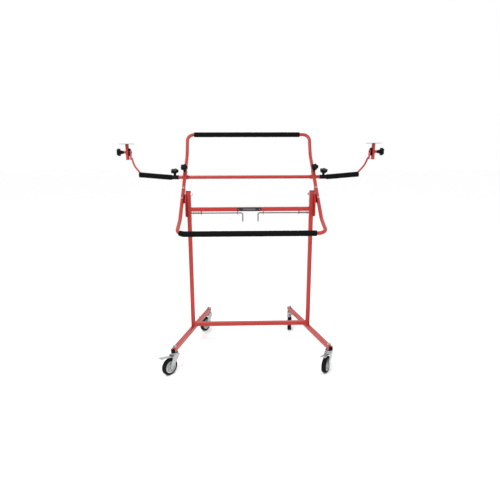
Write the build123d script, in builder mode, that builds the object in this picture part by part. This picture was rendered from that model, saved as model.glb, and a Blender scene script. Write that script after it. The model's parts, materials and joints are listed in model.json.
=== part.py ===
from build123d import *
import os
from math import cos, radians, sin, sqrt

# A mobile stand that holds a vehicle bumper or body panel for repair and painting.
# Millimetres. +Z is up, the padded frame leans back towards +Y, and +X is to the
# right of someone who faces the frame. The origin is on the floor, in the middle.

os.makedirs("parts", exist_ok=True)

SIDES = {"left": -1, "right": 1}

# Square tube of the base and the two columns
tube = 25.0
tube_wall = 1.5
tube_corner = 2.0
cap_thickness = 3.0
plug_depth = 10.0

# Casters
wheel_radius = 50.0
tyre_width = 26.0
tyre_shoulder = 5.0
rim_radius = 36.0
rim_wall = 5.0
rim_width = 24.0
web_thickness = 5.0
hub_radius = 13.0
hub_width = 33.0
hub_ribs = 6
rib_thickness = 4.0
rib_width = 18.0
rib_root = 2.0          # the ribs reach this far into the rim and the hub together
trail = 43.0
axle_radius = 6.0
cheek_gap = 34.0
cheek_thickness = 2.5
cheek_foot_radius = 12.0
cheek_top_depth = 12.0
axle_head_radius = 9.0
axle_head_height = 4.0
fork_plate_thickness = 3.0
fork_plate_length = 44.0
fork_plate_shift = 2.0  # the plate's middle is this far behind the stem
fork_clearance = 13.0   # tyre to fork plate
race_radius = 21.0
race_height = 6.4
race_gap = 0.4
upper_race_height = 5.0
stem_radius = 6.0
stem_head_radius = 9.0
stem_head_height = 5.0
stem_hex = 4.2          # height of the hexagon below the leg
stem_nut = 10.0
stem_nut_radius = 11.0
pedal_pin_radius = 2.5
pedal_hinge_at = 20.0   # behind the stem
pedal_pin_drop = 2.0    # pin's middle above the pedal's underside
pedal_lift = 12.0       # degrees that the free pedal stands up
pedal_clearance = 5.0   # tyre to pedal
pedal_thickness = 3.0
pedal_start = 12.0
pedal_past_wheel = 4.0
pedal_width = 26.0
pedal_tab = (24.0, 32.0)
pedal_corner = 4.0
pedal_pin_past = 1.0
tab_past_wheel = 8.0

fork_plate_bottom = 2 * wheel_radius + fork_clearance
race_top = fork_plate_bottom + race_height
upper_race_bottom = race_top + race_gap
shoulder_bottom = upper_race_bottom + upper_race_height
pedal_bottom = 2 * wheel_radius + pedal_clearance
pedal_hinge = (pedal_hinge_at, pedal_bottom + pedal_pin_drop)
pedal_end = trail + wheel_radius + pedal_past_wheel
pedal_tab_x = trail + wheel_radius + tab_past_wheel

# Base: two splayed legs, a column on the middle of each, and two crossbars
column_x = 380.0
column_y = 18.0
column_top = 1039.0
leg_splay = 14.0
stem_reach = 320.0
leg_overhang = 22.0

leg_bottom = shoulder_bottom + stem_hex
leg_top = leg_bottom + tube
leg_z = leg_bottom + tube / 2
leg_half = stem_reach + leg_overhang
inner_face = column_x - tube / 2
outer_face = column_x + tube / 2

# Name plate without lettering on the upper crossbar
plate_width = 150.0
plate_height = 21.0
plate_thickness = 1.0
plate_x = -8.0
rivet_radius = 2.5
rivet_height = 1.2

# Running and face clearances between pieces that move on each other
running = 0.06
face_gap = 0.3
bolt_past_nut = 4.0

# Round tube of the tilting frame and of the sliding crossbar
hoop_radius = 11.0
hoop_wall = 1.5
pivot_below_top = 17.0
hoop_gap = 10.0         # sector plate to the frame's tube
lean = 50.4            # main stretch, degrees from upright
top_lean = 24.0        # upper stretch
foot_lean = 70.0       # lower stretch
setback = 15.0         # the main stretch runs this far behind the pivot
upper_reach = 390.0    # pivot to upper kink, along the main stretch
lower_reach = 194.0    # pivot to lower kink
top_length = 150.0
foot_length = 170.0
kink_radius = 100.0
top_corner_radius = 45.0
foot_corner_radius = 50.0

# Foam sleeves
foam_radius = 16.5
upper_foam_short = 68.0  # from the frame's right side tube; on the left it starts at the bend
lower_foam_short = 56.0
lower_foam_wrap = 40.0  # degrees of the left corner that the lower sleeve covers
arm_foam_radius = 17.5

# Sector plates that carry the frame on the columns
sector_gap = 0.5
sector_thickness = 5.0
sector_radius = 140.0
sector_front = 54.0
sector_rear_angle = 47.0
hole_circle = 117.0
hole_pitch = 10.0
holes_forward = 2
holes_back = 4
bracket_bolt_radius = 4.0
bracket_bolts_at = (-30.0, 60.0)
flange_ends = (-48.0, 82.0)
flange_web_end = 22.0
flange_taper = 8.0
web_margin = 2.0        # web past the pivot bolt's head
web_cut = (10.0, 14.0)  # the web's cut front corner

bolt_head = 5.0
bolt_head_radius = 7.5
bracket_nut = 6.5
bracket_bolt_past = 2.0

# Pivot bolts
pivot_radius = 5.0
pivot_head = 6.4
pivot_head_radius = 9.5
pivot_nut = 8.5
pivot_bolt_past = 3.0

# Spring-loaded lock rods
rod_radius = 4.0
rod_handle_x = 48.0
rod_handle_drop = 54.0
rod_bend = 10.0
rod_chamfer = 1.2
rod_stand_off = 0.5     # the pin's tip to the sector plate, at rest
rod_engage = 8.0        # travel outwards into a hole
collar_radius = 7.5
collar_thickness = 3.7
guide_x = 80.0
guide_thickness = 4.0
guide_width = 20.0
spring_radius = 6.0
spring_wire = 0.8
spring_turns = 8
spring_room = 0.2
guide_inset = 63.5      # from the column's face to the spring's guide
rod_below_bar = 24.0

pivot_z = column_top - pivot_below_top
lock_z = pivot_z - hole_circle
crossbar_z = lock_z + rod_below_bar
spring_stop_x = inner_face - guide_inset
sector_inner = outer_face + sector_gap
sector_outer = sector_inner + sector_thickness
hoop_x = sector_outer + hoop_gap + hoop_radius
upper_foam_ends = (top_corner_radius - hoop_x, hoop_x - upper_foam_short)
lower_foam_end = hoop_x - lower_foam_short

# Sliding crossbar, its clamps and its end sockets
bar_past_frame = 56.0
bar_place = 200.0       # along the main stretch, from the pivot
bar_wall = 2.0
bar_gap = 1.0           # clamp sleeve to bar
clamp_wall = 3.0
clamp_length = 50.0
clamp_cross_length = 34.0
clamp_boss_radius = 9.0
clamp_boss_top = 24.0
socket_overlap = 12.0
socket_length = 44.0
socket_wall = 2.5
socket_boss_radius = 8.0
socket_boss_top = 20.0
socket_knob_past = 11.0
socket_knob_lean = 20.0

bar_end_x = hoop_x + bar_past_frame
socket_start = bar_end_x - socket_overlap
socket_end = socket_start + socket_length
socket_radius = hoop_radius + socket_wall
socket_knob_x = bar_end_x + socket_knob_past

# Arms: each is turned a little in its socket
arm_radius = 6.0
arm_inside = 125.0      # of the rod inside the bar
arm_inner_end = bar_end_x - arm_inside
arm_rise_start = socket_end + 13.0
arm_bend = (socket_end + 196.0, 16.0)
arm_elbow = (socket_end + 245.0, 77.0)
arm_tip = (socket_end + 261.0, 128.0)
arm_rise_radius = 200.0
arm_bend_radius = 40.0
arm_elbow_radius = 120.0
arm_foam_end = (socket_end + 210.5, 17.3)
foam_start = socket_end + 1.0
arm_turn = {"left": 14.0, "right": -14.0}
lug_start = socket_end + 264.0
lug_thickness = 6.0
lug_radius = 16.0
lug_neck_radius = 8.0
head_up = 165.0
friction_radius = 25.0
friction_thickness = 7.7

# Post with its support disc on the end of each arm
post_radius = 11.0
post_wall = 2.0
post_below = 49.0
post_above = 51.0
post_pad_radius = 14.0
post_pad_depth = 5.0
post_boss_radius = 9.0
post_boss_length = 9.0
post_boss_root = 1.0
post_x = lug_start + lug_thickness + friction_thickness + face_gap + post_radius
disc_radius = 50.0
disc_thickness = 2.5

# Star knobs
stud_radius = 4.0
knob_neck_radius = 7.5
clamp_knob_radius = 23.0
socket_knob_radius = 25.0
head_knob_radius = 24.5
knob_thickness = 18.0
head_knob_hub = 27.5
stud_past_lug = 3.0
knob_lobes = 5
knob_gap = 0.5          # boss to knob
clamp_knob_hub = 26.5
socket_knob_hub = 14.5

# Casters: side, front (-1) or rear (1), and heading of the trail, in degrees from
# straight ahead towards the left
CASTERS = {
    "front_left": (-1, -1, 40.0),
    "front_right": (1, -1, 31.0),
    "rear_left": (-1, 1, 32.0),
    "rear_right": (1, 1, 10.0),
}


def save(part, name):
    part.label = name
    export_step(part, f"parts/{name}.step")


def tube_section():
    RectangleRounded(tube, tube, tube_corner)
    inner = tube - 2 * tube_wall
    RectangleRounded(inner, inner, tube_corner / 2, mode=Mode.SUBTRACT)


def on_frame(along, front):
    """Y and Z of a place along the main stretch and in front of the pivot."""
    a = radians(lean)
    y = column_y + along * sin(a) - front * cos(a)
    z = pivot_z + along * cos(a) + front * sin(a)
    return y, z


def further(start, angle, length):
    """Y and Z of the point at a length from start, leaning back by angle."""
    a = radians(angle)
    return start[0] + length * sin(a), start[1] + length * cos(a)


def leg_plane(side):
    """At the column's foot, with its normal along the leg to the front."""
    a = radians(leg_splay)
    forward = (side * sin(a), -cos(a), 0)
    return Plane((side * column_x, column_y, leg_z), x_dir=(cos(a), side * sin(a), 0), z_dir=forward)


def stem_place(side, end):
    a = radians(leg_splay)
    return side * column_x - side * end * stem_reach * sin(a), column_y + end * stem_reach * cos(a)


def star_knob(plane, name, stud_length, hub_length, radius):
    """A star knob whose hub starts at the plane and points along its normal."""
    with BuildPart() as knob:
        with BuildSketch(plane):
            Circle(stud_radius)
        extrude(amount=-stud_length)
        with BuildSketch(plane):
            Circle(knob_neck_radius)
        with BuildSketch(plane.offset(hub_length)):
            Circle(radius * 0.6)
        loft()
        with BuildSketch(plane.offset(hub_length)):
            Circle(radius * 0.75)
            with PolarLocations(radius * 0.68, knob_lobes):
                Circle(radius * 0.32)
        extrude(amount=knob_thickness)
        top = knob.faces().sort_by(Axis(plane.origin, plane.z_dir))[-1]
        fillet(top.edges(), radius * 0.12)
    save(knob.part, name)


# ---- Base ----

for name, side in SIDES.items():
    with BuildPart() as leg:
        with BuildSketch(leg_plane(side)):
            tube_section()
        extrude(amount=leg_half, both=True)
        with BuildSketch(Plane.XY.offset(leg_bottom)):
            with Locations(stem_place(side, -1), stem_place(side, 1)):
                Circle(stem_radius)
        extrude(amount=tube, mode=Mode.SUBTRACT)
    save(leg.part, f"{name}_leg")

    with BuildPart() as column:
        with BuildSketch(Plane.XY.offset(leg_top)):
            with Locations((side * column_x, column_y)):
                tube_section()
        extrude(amount=column_top - leg_top)
        with BuildSketch(Plane.YZ.offset(side * column_x)):
            with Locations((column_y, pivot_z)):
                Circle(pivot_radius)
            with Locations((column_y, lock_z)):
                Circle(rod_radius + running)
        extrude(amount=tube, both=True, mode=Mode.SUBTRACT)
    save(column.part, f"{name}_upright")

for name, z in (("base_crossbar", leg_top + tube / 2), ("upper_crossbar", crossbar_z)):
    with BuildPart() as crossbar:
        with BuildSketch(Plane.YZ.offset(-inner_face)):
            with Locations((column_y, z)):
                tube_section()
        extrude(amount=2 * inner_face)
    save(crossbar.part, name)

# One cap for each end of the legs and for each column's top
cap_planes = []
for side in SIDES.values():
    along = leg_plane(side)
    cap_planes.append(along.offset(leg_half))
    back = along.offset(-leg_half)
    cap_planes.append(Plane(back.origin, x_dir=back.x_dir, z_dir=-back.z_dir))
    cap_planes.append(Plane((side * column_x, column_y, column_top)))

with BuildPart() as caps:
    for plane in cap_planes:
        with BuildSketch(plane):
            RectangleRounded(tube, tube, tube_corner)
        extrude(amount=cap_thickness)
        with BuildSketch(plane):
            RectangleRounded(tube - 2 * tube_wall, tube - 2 * tube_wall, tube_corner / 2)
        extrude(amount=-plug_depth)
save(caps.part, "tube_end_caps")

front_face = Plane.XZ.offset(tube / 2 - column_y)
with BuildPart() as plate:
    with BuildSketch(front_face):
        with Locations((plate_x, crossbar_z)):
            RectangleRounded(plate_width, plate_height, tube_corner)
    extrude(amount=plate_thickness)
    with BuildSketch(front_face.offset(plate_thickness)):
        with Locations((plate_x, crossbar_z)):
            with GridLocations(plate_width - 4 * rivet_radius, 0, 2, 1):
                Circle(rivet_radius)
    extrude(amount=rivet_height)
save(plate.part, "label_plate")

# ---- Caster stems and nuts, which the legs hold ----

stem_places = [stem_place(side, end) for side, end, heading in CASTERS.values()]

with BuildPart() as stems:
    stem_head_bottom = fork_plate_bottom - face_gap - stem_head_height
    for bottom, top, radius in (
        (stem_head_bottom, leg_top + stem_nut + bolt_past_nut, stem_radius),
        (stem_head_bottom, fork_plate_bottom - face_gap, stem_head_radius),
        (upper_race_bottom, shoulder_bottom, race_radius),
    ):
        with BuildSketch(Plane.XY.offset(bottom)):
            with Locations(*stem_places):
                Circle(radius)
        extrude(amount=top - bottom)
    with BuildSketch(Plane.XY.offset(shoulder_bottom)):
        with Locations(*stem_places):
            RegularPolygon(stem_nut_radius, 6)
    extrude(amount=leg_bottom - shoulder_bottom)
save(stems.part, "caster_stems")

with BuildPart() as nuts:
    with BuildSketch(Plane.XY.offset(leg_top)):
        with Locations(*stem_places):
            RegularPolygon(stem_nut_radius, 6)
            Circle(stem_radius, mode=Mode.SUBTRACT)
    extrude(amount=stem_nut)
save(nuts.part, "caster_nuts")

# ---- Casters ----

cheek_outer = cheek_gap / 2 + cheek_thickness
axle_half = cheek_outer + axle_head_height

for name, (side, end, heading) in CASTERS.items():
    x, y = stem_place(side, end)
    a = radians(heading)
    trailing = Vector(-sin(a), -cos(a), 0)
    across = Vector(-cos(a), sin(a), 0)
    side_view = Plane((x, y, 0), x_dir=trailing, z_dir=across)
    top_view = Plane((x, y, 0), x_dir=trailing, z_dir=(0, 0, 1))
    axle_at = (trail, wheel_radius)

    with BuildPart() as fork:
        for inner in (-cheek_outer, cheek_gap / 2):
            with BuildSketch(side_view.offset(inner)):
                with Locations(axle_at):
                    Circle(cheek_foot_radius)
                with Locations((fork_plate_shift, fork_plate_bottom + fork_plate_thickness)):
                    Rectangle(fork_plate_length, cheek_top_depth, align=(Align.CENTER, Align.MAX))
                make_hull()
            extrude(amount=cheek_thickness)
        with BuildSketch(top_view.offset(fork_plate_bottom)):
            with Locations((fork_plate_shift, 0)):
                Rectangle(fork_plate_length, 2 * cheek_outer)
        extrude(amount=fork_plate_thickness)
        with BuildSketch(top_view.offset(fork_plate_bottom)):
            Circle(race_radius)
        extrude(amount=race_top - fork_plate_bottom)
        with BuildSketch(top_view.offset(fork_plate_bottom)):
            Circle(stem_radius + running)
        extrude(amount=race_top - fork_plate_bottom, mode=Mode.SUBTRACT)
        with BuildSketch(side_view):
            with Locations(pedal_hinge):
                Circle(pedal_pin_radius + running)
        extrude(amount=2 * cheek_outer, both=True, mode=Mode.SUBTRACT)
        with BuildSketch(side_view):
            with Locations(axle_at):
                Circle(axle_radius)
        extrude(amount=axle_half, both=True)
        for start in (-axle_half, cheek_outer):
            with BuildSketch(side_view.offset(start)):
                with Locations(axle_at):
                    Circle(axle_head_radius)
            extrude(amount=axle_head_height)
    save(fork.part, f"{name}_fork")

    with BuildPart() as tyre:
        with BuildSketch(side_view):
            with Locations(axle_at):
                Circle(wheel_radius)
                Circle(rim_radius, mode=Mode.SUBTRACT)
        extrude(amount=tyre_width / 2, both=True)
        fillet(tyre.edges().filter_by(GeomType.CIRCLE).sort_by(SortBy.RADIUS)[-2:], tyre_shoulder)
    save(tyre.part, f"{name}_tyre")

    with BuildPart() as hub:
        with BuildSketch(side_view):
            with Locations(axle_at):
                Circle(rim_radius)
                Circle(rim_radius - rim_wall, mode=Mode.SUBTRACT)
        extrude(amount=rim_width / 2, both=True)
        with BuildSketch(side_view):
            with Locations(axle_at):
                Circle(rim_radius - rim_wall)
        extrude(amount=web_thickness / 2, both=True)
        with BuildSketch(side_view):
            with Locations(axle_at):
                Circle(hub_radius)
        extrude(amount=hub_width / 2, both=True)
        with BuildSketch(side_view):
            with Locations(axle_at):
                with PolarLocations((hub_radius + rim_radius - rim_wall) / 2, hub_ribs):
                    Rectangle(rim_radius - rim_wall - hub_radius + rib_root, rib_thickness)
        extrude(amount=rib_width / 2, both=True)
        with BuildSketch(side_view):
            with Locations(axle_at):
                Circle(axle_radius + running)
        extrude(amount=hub_width, both=True, mode=Mode.SUBTRACT)
    save(hub.part, f"{name}_hub")

    lift = radians(pedal_lift)
    hinge = Vector(x, y, pedal_hinge[1]) + trailing * pedal_hinge_at
    reach = trailing * cos(lift) + Vector(0, 0, sin(lift))
    tread = Plane(hinge, x_dir=reach, z_dir=across.cross(reach)).offset(-pedal_pin_drop)
    with BuildPart() as pedal:
        with BuildSketch(tread):
            with Locations((pedal_start - pedal_hinge_at, 0)):
                Rectangle(pedal_end - pedal_start, pedal_width, align=(Align.MIN, Align.CENTER))
            with Locations((pedal_tab_x - pedal_hinge_at, 0)):
                RectangleRounded(*pedal_tab, pedal_corner)
        extrude(amount=pedal_thickness)
        with BuildSketch(side_view):
            with Locations(pedal_hinge):
                Circle(pedal_pin_radius)
        extrude(amount=cheek_outer + pedal_pin_past, both=True)
    save(pedal.part, f"{name}_brake_pedal")

# ---- Lock rods, springs and guides under the upper crossbar ----

rod_tip = sector_inner - rod_stand_off
collar_outer = inner_face - rod_engage - face_gap
collar_inner = collar_outer - collar_thickness
spring_start = spring_stop_x + guide_thickness / 2 + spring_wire
spring_end = collar_inner - spring_wire - spring_room

with BuildPart() as guides:
    for side in SIDES.values():
        for x in (guide_x, spring_stop_x):
            with BuildSketch(Plane.YZ.offset(side * x)):
                with Locations((column_y, lock_z)):
                    Circle(guide_width / 2)
                with Locations((column_y, (lock_z + crossbar_z - tube / 2) / 2)):
                    Rectangle(guide_width, crossbar_z - tube / 2 - lock_z)
                with Locations((column_y, lock_z)):
                    Circle(rod_radius + running, mode=Mode.SUBTRACT)
            extrude(amount=guide_thickness / 2, both=True)
save(guides.part, "rod_guides")

for name, side in SIDES.items():
    with BuildPart() as rod:
        with BuildLine() as path:
            FilletPolyline(
                (side * rod_tip, column_y, lock_z),
                (side * rod_handle_x, column_y, lock_z),
                (side * rod_handle_x, column_y, lock_z - rod_handle_drop),
                radius=rod_bend,
            )
        with BuildSketch(Plane((side * rod_tip, column_y, lock_z), z_dir=(-side, 0, 0))):
            Circle(rod_radius)
        sweep(path=path.line)
        with BuildSketch(Plane.YZ.offset(side * collar_inner)):
            with Locations((column_y, lock_z)):
                Circle(collar_radius)
        extrude(amount=side * collar_thickness)
        chamfer(rod.edges().sort_by(Axis.X)[-1 if side > 0 else 0], rod_chamfer)
    save(rod.part, f"{name}_lock_rod")

    with BuildPart() as spring:
        with BuildLine() as coil:
            Helix(
                pitch=(spring_end - spring_start) / spring_turns,
                height=spring_end - spring_start,
                radius=spring_radius,
                center=(side * spring_start, column_y, lock_z),
                direction=(side, 0, 0),
            )
        with BuildSketch(Plane(coil.line @ 0, z_dir=coil.line % 0)):
            Circle(spring_wire)
        sweep(path=coil.line, is_frenet=True)
    save(spring.part, f"{name}_lock_spring")

# ---- Tilting frame ----

lean_a = radians(lean)
along_dir = (0, sin(lean_a), cos(lean_a))
back_dir = (0, cos(lean_a), -sin(lean_a))
front_dir = (0, -cos(lean_a), sin(lean_a))
upper_kink = on_frame(upper_reach, -setback)
lower_kink = on_frame(-lower_reach, -setback)
top_bar = further(upper_kink, top_lean, top_length)
foot_bar = further(lower_kink, foot_lean, -foot_length)

with BuildPart() as hoop:
    with BuildLine() as path:
        FilletPolyline(
            (0, *foot_bar),
            (hoop_x, *foot_bar),
            (hoop_x, *lower_kink),
            (hoop_x, *upper_kink),
            (hoop_x, *top_bar),
            (0, *top_bar),
            radius=[foot_corner_radius, kink_radius, kink_radius, top_corner_radius],
        )
    with BuildSketch(Plane((0, *foot_bar), x_dir=(0, 1, 0), z_dir=(1, 0, 0))):
        Circle(hoop_radius)
        Circle(hoop_radius - hoop_wall, mode=Mode.SUBTRACT)
    sweep(path=path.line)
    mirror(about=Plane.YZ)
    for side in SIDES.values():
        for along in bracket_bolts_at:
            y, z = on_frame(along, -setback)
            with BuildSketch(Plane((side * hoop_x, y, z), x_dir=(1, 0, 0), z_dir=back_dir)):
                Circle(bracket_bolt_radius)
            extrude(amount=2 * hoop_radius, both=True, mode=Mode.SUBTRACT)
save(hoop.part, "tilt_frame")

# Sector plates: a web beside the column and a flange behind the frame's tube
flange_front = -setback - hoop_radius
flange_back = flange_front - sector_thickness


def web_corner(along, front):
    y, z = on_frame(along, front)
    return y - column_y, z - pivot_z


rear_a = radians(sector_rear_angle)
arc_front = (-sector_front, -sqrt(sector_radius**2 - sector_front**2))
arc_rear = (sector_radius * sin(rear_a), -sector_radius * cos(rear_a))
web_front = pivot_head_radius + web_margin

for name, side in SIDES.items():
    with BuildPart() as sector:
        with BuildSketch(Plane((side * sector_inner, column_y, pivot_z), x_dir=(0, 1, 0), z_dir=(1, 0, 0))):
            with BuildLine():
                RadiusArc(arc_front, arc_rear, -sector_radius)
                Polyline(
                    arc_rear,
                    web_corner(flange_web_end, flange_back),
                    web_corner(flange_web_end, web_front),
                    web_corner(flange_ends[0] + web_cut[0], web_front),
                    (-sector_front, web_corner(flange_ends[0], web_front)[1] - web_cut[1]),
                    arc_front,
                )
            make_face()
            Circle(pivot_radius + running, mode=Mode.SUBTRACT)
            for step in range(-holes_back, holes_forward + 1):
                a = radians(-hole_pitch * step)
                with Locations((hole_circle * sin(a), -hole_circle * cos(a))):
                    Circle(rod_radius + running, mode=Mode.SUBTRACT)
        extrude(amount=side * sector_thickness)
        with BuildSketch(Plane((0, *on_frame(0, flange_front)), x_dir=along_dir, z_dir=back_dir)):
            with BuildLine():
                Polyline(
                    (flange_ends[0], side * sector_inner),
                    (flange_web_end, side * sector_inner),
                    (flange_web_end + flange_taper, side * (hoop_x - hoop_radius)),
                    (flange_ends[1], side * (hoop_x - hoop_radius)),
                    (flange_ends[1], side * (hoop_x + hoop_radius)),
                    (flange_ends[0], side * (hoop_x + hoop_radius)),
                    close=True,
                )
            make_face()
            with Locations(*[(along, side * hoop_x) for along in bracket_bolts_at]):
                Circle(bracket_bolt_radius, mode=Mode.SUBTRACT)
        extrude(amount=sector_thickness)
    save(sector.part, f"{name}_sector_plate")

with BuildPart() as bracket_bolts:
    for side in SIDES.values():
        for along in bracket_bolts_at:
            y, z = on_frame(along, -setback + hoop_radius)
            crown = Plane((side * hoop_x, y, z), x_dir=(1, 0, 0), z_dir=back_dir)
            with BuildSketch(crown):
                Circle(bracket_bolt_radius)
            extrude(amount=2 * hoop_radius + sector_thickness + bracket_nut + bracket_bolt_past)
            with BuildSketch(crown):
                RegularPolygon(bolt_head_radius, 6)
            extrude(amount=-bolt_head)
save(bracket_bolts.part, "bracket_bolts")

with BuildPart() as bracket_nuts:
    for side in SIDES.values():
        for along in bracket_bolts_at:
            seat = Plane((side * hoop_x, *on_frame(along, flange_back)), x_dir=(1, 0, 0), z_dir=back_dir)
            with BuildSketch(seat):
                RegularPolygon(bolt_head_radius, 6)
                Circle(bracket_bolt_radius, mode=Mode.SUBTRACT)
            extrude(amount=bracket_nut)
save(bracket_nuts.part, "bracket_nuts")

# Pivot bolts: the head is outside the sector plate and the nut inside the column
with BuildPart() as pivot_bolts:
    for side in SIDES.values():
        head = sector_outer + sector_gap
        with BuildSketch(Plane((side * head, column_y, pivot_z), x_dir=(0, 1, 0), z_dir=(side, 0, 0))):
            RegularPolygon(pivot_head_radius, 6)
        extrude(amount=pivot_head)
        with BuildSketch(Plane((side * head, column_y, pivot_z), x_dir=(0, 1, 0), z_dir=(side, 0, 0))):
            Circle(pivot_radius)
        extrude(amount=-(head - inner_face + pivot_nut + pivot_bolt_past))
save(pivot_bolts.part, "pivot_bolts")

with BuildPart() as pivot_nuts:
    for side in SIDES.values():
        seat = Plane((side * inner_face, column_y, pivot_z), x_dir=(0, 1, 0), z_dir=(-side, 0, 0))
        with BuildSketch(seat):
            RegularPolygon(pivot_head_radius, 6)
            Circle(pivot_radius, mode=Mode.SUBTRACT)
        extrude(amount=pivot_nut)
save(pivot_nuts.part, "pivot_nuts")

# Foam sleeves on the frame's top and bottom
with BuildPart() as upper_foam:
    with BuildSketch(Plane.YZ.offset(upper_foam_ends[0])):
        with Locations(top_bar):
            Circle(foam_radius)
            Circle(hoop_radius, mode=Mode.SUBTRACT)
    extrude(amount=upper_foam_ends[1] - upper_foam_ends[0])
save(upper_foam.part, "upper_foam")

foot_a = radians(foot_lean)
foot_plane = Plane((0, *foot_bar), x_dir=(1, 0, 0), z_dir=(0, -cos(foot_a), sin(foot_a)))
bend_x = hoop_x - foot_corner_radius
with BuildPart() as lower_foam:
    with BuildLine(foot_plane) as path:
        Line((lower_foam_end, 0), (-bend_x, 0))
        CenterArc((-bend_x, foot_corner_radius), foot_corner_radius, -90, -lower_foam_wrap)
    with BuildSketch(Plane((lower_foam_end, *foot_bar), x_dir=(0, 1, 0), z_dir=(-1, 0, 0))):
        Circle(foam_radius)
        Circle(hoop_radius, mode=Mode.SUBTRACT)
    sweep(path=path.line)
save(lower_foam.part, "lower_foam")

# ---- Sliding crossbar ----

clamp_radius = hoop_radius + running + clamp_wall
bar_spacing = clamp_radius + hoop_radius + bar_gap
bar_y, bar_z = on_frame(bar_place, -setback - bar_spacing)

with BuildPart() as cross_bar:
    with BuildSketch(Plane.YZ.offset(-bar_end_x)):
        with Locations((bar_y, bar_z)):
            Circle(hoop_radius)
            Circle(hoop_radius - bar_wall, mode=Mode.SUBTRACT)
    extrude(amount=2 * bar_end_x)
save(cross_bar.part, "cross_bar")

with BuildPart() as clamps:
    for side in SIDES.values():
        centre = (side * hoop_x, *on_frame(bar_place, -setback))
        sleeve = Plane(centre, x_dir=(1, 0, 0), z_dir=along_dir)
        boss = Plane(centre, x_dir=(1, 0, 0), z_dir=front_dir)
        cross = Plane((side * hoop_x, bar_y, bar_z), x_dir=(0, 1, 0), z_dir=(1, 0, 0))
        with BuildSketch(sleeve):
            Circle(clamp_radius)
        extrude(amount=clamp_length / 2, both=True)
        with BuildSketch(cross):
            Circle(hoop_radius + clamp_wall)
        extrude(amount=clamp_cross_length / 2, both=True)
        with BuildSketch(boss):
            Circle(clamp_boss_radius)
        extrude(amount=clamp_boss_top)
        with BuildSketch(boss):
            Circle(stud_radius + running)
        extrude(amount=clamp_boss_top, mode=Mode.SUBTRACT)
        with BuildSketch(sleeve):
            Circle(hoop_radius + running)
        extrude(amount=clamp_length, both=True, mode=Mode.SUBTRACT)
        with BuildSketch(cross):
            Circle(hoop_radius)
        extrude(amount=clamp_cross_length, both=True, mode=Mode.SUBTRACT)
save(clamps.part, "slide_clamps")

socket_a = radians(socket_knob_lean)
socket_axis = Vector(0, -sin(socket_a), cos(socket_a))

for name, side in SIDES.items():
    ends = Plane((side * socket_start, bar_y, bar_z), x_dir=(0, 1, 0), z_dir=(side, 0, 0))
    boss = Plane((side * socket_knob_x, bar_y, bar_z), x_dir=(1, 0, 0), z_dir=socket_axis)
    with BuildPart() as socket:
        with BuildSketch(ends):
            Circle(socket_radius)
        extrude(amount=socket_end - socket_start)
        with BuildSketch(boss):
            Circle(socket_boss_radius)
        extrude(amount=socket_boss_top)
        with BuildSketch(boss):
            Circle(stud_radius + running)
        extrude(amount=socket_boss_top, mode=Mode.SUBTRACT)
        with BuildSketch(ends):
            Circle(hoop_radius + running)
        extrude(amount=bar_end_x + face_gap - socket_start, mode=Mode.SUBTRACT)
        with BuildSketch(ends):
            Circle(arm_radius + running)
        extrude(amount=socket_end - socket_start, mode=Mode.SUBTRACT)
    save(socket.part, f"{name}_arm_socket")

for name, side in SIDES.items():
    centre = Vector(side * hoop_x, *on_frame(bar_place, -setback))
    neck = clamp_boss_top + knob_gap
    star_knob(
        Plane(centre + Vector(*front_dir) * neck, x_dir=(1, 0, 0), z_dir=front_dir),
        f"{name}_clamp_knob",
        neck - hoop_radius - face_gap,
        clamp_knob_hub,
        clamp_knob_radius,
    )
    on_socket = Vector(side * socket_knob_x, bar_y, bar_z)
    neck = socket_boss_top + knob_gap
    star_knob(
        Plane(on_socket + socket_axis * neck, x_dir=(1, 0, 0), z_dir=socket_axis),
        f"{name}_socket_knob",
        neck - arm_radius - face_gap,
        socket_knob_hub,
        socket_knob_radius,
    )

# ---- Arms and their heads ----

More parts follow.
